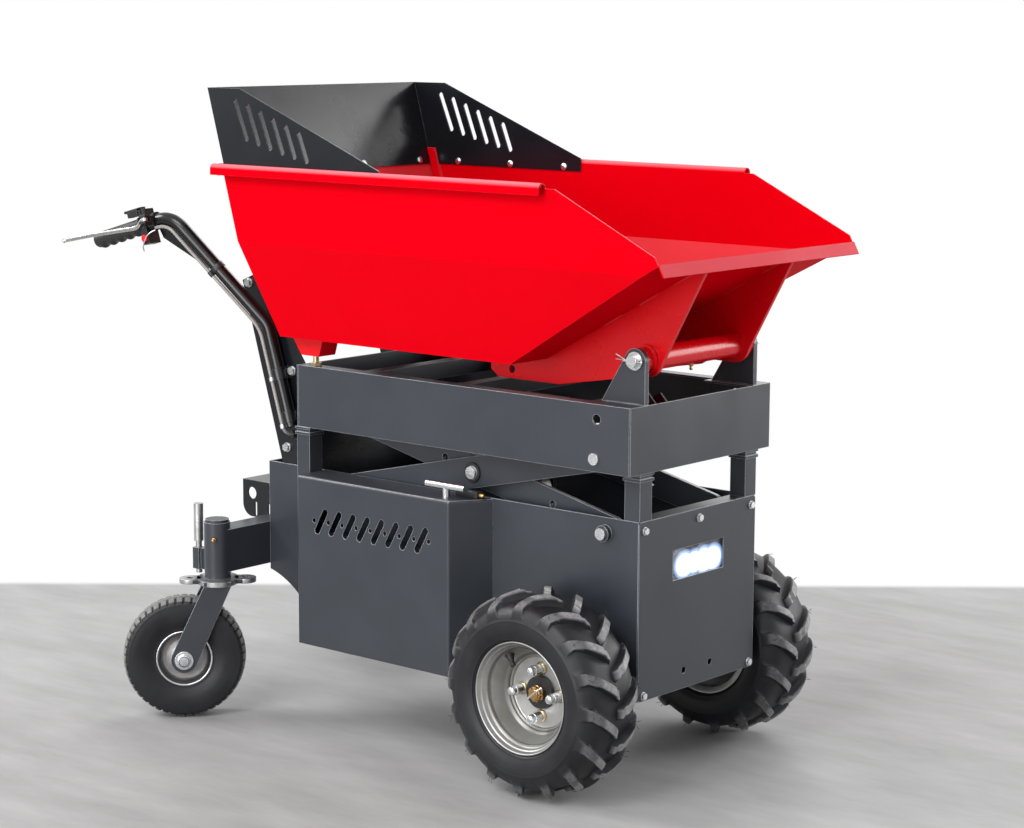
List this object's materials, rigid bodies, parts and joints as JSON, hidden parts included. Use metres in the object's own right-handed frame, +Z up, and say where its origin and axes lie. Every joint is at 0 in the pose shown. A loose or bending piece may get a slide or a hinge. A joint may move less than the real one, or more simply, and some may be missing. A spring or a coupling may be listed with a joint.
{
  "type": "electric wheelbarrow",
  "caption": "Walk-behind electric dumper: driven front wheels, swivelling rear casters, scissor-lifted tray and a front-tipping steel tub with a slotted spill guard.",
  "frame": {"origin": "on the ground under the middle of the machine's bounding box", "axes": "+X forward, towards the tub's tipping lip; +Y to the left; +Z up"},
  "size_m": [1.7026, 1.0014, 1.385],
  "materials": {
    "red_paint": "gloss powder coat",
    "grey_paint": "satin powder coat",
    "black_paint": "satin powder coat",
    "tyre": "matt rubber",
    "rim": "silver paint",
    "hub": "painted",
    "zinc": "zinc plated",
    "chrome": "polished",
    "steel": "bare",
    "black_plastic": "moulded",
    "black_rubber": "moulded",
    "red_plastic": "moulded",
    "lens": "clear",
    "lamp": "reflector",
    "battery": "moulded",
    "alloy": "cast"
  },
  "bodies": {
    "chassis": {"chassis_frame": "grey_paint", "front_panel": "grey_paint", "chassis_bolts": "zinc", "headlamp_housing": "lamp", "headlamp_lens": "lens", "battery_box_right": "grey_paint", "battery_box_left": "grey_paint", "battery_packs": "battery", "motor_controller": "alloy", "drive_transaxle": "alloy", "tray_rest_posts": "grey_paint", "scissor_base_pins": "zinc", "caster_beam": "grey_paint", "hitch_bracket": "grey_paint", "handle_plates": "black_paint", "handlebar_right": "black_paint", "handlebar_left": "black_paint", "handle_grips": "black_rubber", "control_clamp_right": "black_plastic", "control_clamp_left": "black_plastic", "control_cables": "black_rubber"},
    "base_arms": {"scissor_base_arms": "grey_paint"},
    "tray_arms": {"scissor_tray_arms": "grey_paint", "scissor_centre_bolts": "zinc"},
    "lower_roller_shaft": {"lower_rollers": "steel"},
    "upper_roller_shaft": {"upper_rollers": "steel"},
    "tray": {"tray_frame": "grey_paint", "tray_fasteners": "zinc", "bucket_pivot_pin": "zinc"},
    "bucket": {"bucket_tub": "red_paint", "bucket_hinge_frame": "red_paint", "spill_guard": "black_paint", "guard_bolts": "zinc"},
    "lift_barrel": {"lift_actuator_barrel": "black_paint"},
    "lift_rod": {"lift_actuator_rod": "steel"},
    "tilt_barrel": {"tilt_actuator_barrel": "black_paint"},
    "tilt_rod": {"tilt_actuator_rod": "steel"},
    "throttle": {"throttle_lever": "black_plastic"},
    "button": {"red_button": "red_plastic"},
    "lift_switch": {"lift_rocker": "black_plastic"},
    "tilt_switch": {"tilt_rocker": "black_plastic"},
    "latch": {"box_latch": "chrome"},
    "drive_wheel_right": {"drive_tyre_right": "tyre", "drive_rim_right": "rim", "drive_hub_right": "hub", "wheel_nuts_right": "chrome"},
    "swivel_right": {"caster_fork_right": "grey_paint"},
    "caster_wheel_right": {"caster_tyre_right": "tyre", "caster_rim_right": "rim"},
    "lock_pin_right": {"caster_lock_pin_right": "steel"},
    "brake_right": {"brake_lever_right": "black_paint"},
    "drive_wheel_left": {"drive_tyre_left": "tyre", "drive_rim_left": "rim", "drive_hub_left": "hub", "wheel_nuts_left": "chrome"},
    "swivel_left": {"caster_fork_left": "grey_paint"},
    "caster_wheel_left": {"caster_tyre_left": "tyre", "caster_rim_left": "rim"},
    "lock_pin_left": {"caster_lock_pin_left": "steel"},
    "brake_left": {"brake_lever_left": "black_paint"}
  },
  "joints": [
    {"name": "lift", "type": "hinge", "parent": "chassis", "child": "base_arms", "pos_m": [0.61212, 0, 0.526], "axis": [0, 1, 0], "range_deg": [0, 38]},
    {"name": "scissor_cross", "type": "hinge", "parent": "base_arms", "child": "tray_arms", "pos_m": [0.25212, 0, 0.603], "axis": [0, 1, 0], "range_deg": [-76, 0]},
    {"name": "tray_level", "type": "hinge", "parent": "tray_arms", "child": "tray", "pos_m": [0.61212, 0, 0.68], "axis": [0, 1, 0], "range_deg": [0, 38]},
    {"name": "bucket_tilt", "type": "hinge", "parent": "tray", "child": "bucket", "pos_m": [0.67612, 0, 0.876], "axis": [0, 1, 0], "range_deg": [0, 70]},
    {"name": "lift_barrel_turn", "type": "hinge", "parent": "chassis", "child": "lift_barrel", "pos_m": [0.4, 0, 0.2732], "axis": [0, 1, 0], "range_deg": [0, 19]},
    {"name": "lift_rod_slide", "type": "slide", "parent": "lift_barrel", "child": "lift_rod", "axis": [-0.3907, 0, 0.9205], "range_m": [0, 0.17513]},
    {"name": "tilt_barrel_turn", "type": "hinge", "parent": "tray", "child": "tilt_barrel", "pos_m": [0.64019, 0, 0.67011], "axis": [0, 1, 0], "range_deg": [0, 35]},
    {"name": "tilt_rod_slide", "type": "slide", "parent": "tilt_barrel", "child": "tilt_rod", "axis": [-0.7139, 0, 0.7003], "range_m": [0, 0.1546]},
    {"name": "lower_rollers_spin", "type": "hinge", "parent": "tray_arms", "child": "lower_roller_shaft", "pos_m": [-0.10788, 0, 0.526], "axis": [0, 1, 0], "continuous": true},
    {"name": "upper_rollers_spin", "type": "hinge", "parent": "base_arms", "child": "upper_roller_shaft", "pos_m": [-0.10788, 0, 0.68], "axis": [0, 1, 0], "continuous": true},
    {"name": "drive_spin_right", "type": "hinge", "parent": "chassis", "child": "drive_wheel_right", "pos_m": [0.54012, -0.305, 0.21], "axis": [0, 1, 0], "continuous": true},
    {"name": "caster_swivel_right", "type": "hinge", "parent": "chassis", "child": "swivel_right", "pos_m": [-0.37388, -0.33, 0.31], "axis": [0, 0, 1], "continuous": true},
    {"name": "caster_spin_right", "type": "hinge", "parent": "swivel_right", "child": "caster_wheel_right", "pos_m": [-0.42598, -0.38395, 0.135], "axis": [-0.7193, 0.6947, 0], "continuous": true},
    {"name": "lock_pin_drop_right", "type": "slide", "parent": "chassis", "child": "lock_pin_right", "axis": [0, 0, -1], "range_m": [0, 0.014]},
    {"name": "brake_squeeze_right", "type": "hinge", "parent": "chassis", "child": "brake_right", "pos_m": [-0.58609, -0.33746, 1.08963], "axis": [0.1778, -0.1555, -0.9717], "range_deg": [0, 5], "stiffness_Nm_per_rad": 12, "springref_deg": -8.59},
    {"name": "drive_spin_left", "type": "hinge", "parent": "chassis", "child": "drive_wheel_left", "pos_m": [0.54012, 0.305, 0.21], "axis": [0, 1, 0], "continuous": true},
    {"name": "caster_swivel_left", "type": "hinge", "parent": "chassis", "child": "swivel_left", "pos_m": [-0.37388, 0.33, 0.31], "axis": [0, 0, 1], "continuous": true},
    {"name": "caster_spin_left", "type": "hinge", "parent": "swivel_left", "child": "caster_wheel_left", "pos_m": [-0.42598, 0.38395, 0.135], "axis": [0.7193, 0.6947, 0], "continuous": true},
    {"name": "lock_pin_drop_left", "type": "slide", "parent": "chassis", "child": "lock_pin_left", "axis": [0, 0, -1], "range_m": [0, 0.014]},
    {"name": "brake_squeeze_left", "type": "hinge", "parent": "chassis", "child": "brake_left", "pos_m": [-0.58609, 0.33746, 1.08963], "axis": [-0.1778, -0.1555, 0.9717], "range_deg": [0, 5], "stiffness_Nm_per_rad": 12, "springref_deg": -8.59},
    {"name": "throttle_turn", "type": "hinge", "parent": "chassis", "child": "throttle", "pos_m": [-0.73888, -0.32, 1.039], "axis": [-0.9539, -0.0949, -0.2847], "range_deg": [0, 30], "stiffness_Nm_per_rad": 0.2, "springref_deg": -17.19},
    {"name": "button_push", "type": "slide", "parent": "chassis", "child": "button", "axis": [-0.099, 0.9951, 0], "range_m": [0, 0.003], "stiffness_N_per_m": 300, "springref_m": -0.002},
    {"name": "lift_switch_rock", "type": "hinge", "parent": "chassis", "child": "lift_switch", "pos_m": [-0.60197, 0.29432, 1.05467], "axis": [0.9539, -0.0949, 0.2847], "range_deg": [-8, 8], "stiffness_Nm_per_rad": 0.05},
    {"name": "tilt_switch_rock", "type": "hinge", "parent": "chassis", "child": "tilt_switch", "pos_m": [-0.598, 0.29392, 1.04125], "axis": [0.9539, -0.0949, 0.2847], "range_deg": [-8, 8], "stiffness_Nm_per_rad": 0.05},
    {"name": "latch_turn", "type": "hinge", "parent": "chassis", "child": "latch", "pos_m": [0.24212, -0.258, 0.558], "axis": [0, 0, 1], "range_deg": [0, 90]}
  ],
  "couplings": [
    {"joint": "scissor_cross", "follows": "lift", "ratio": -2},
    {"joint": "tray_level", "follows": "lift", "ratio": 1},
    {"joint": "lift_barrel_turn", "follows": "lift", "ratio": 0.5},
    {"joint": "lift_rod_slide", "follows": "lift", "m_per_rad": 0.26406},
    {"joint": "tilt_barrel_turn", "follows": "bucket_tilt", "ratio": 0.5},
    {"joint": "tilt_rod_slide", "follows": "bucket_tilt", "m_per_rad": 0.12654}
  ]
}
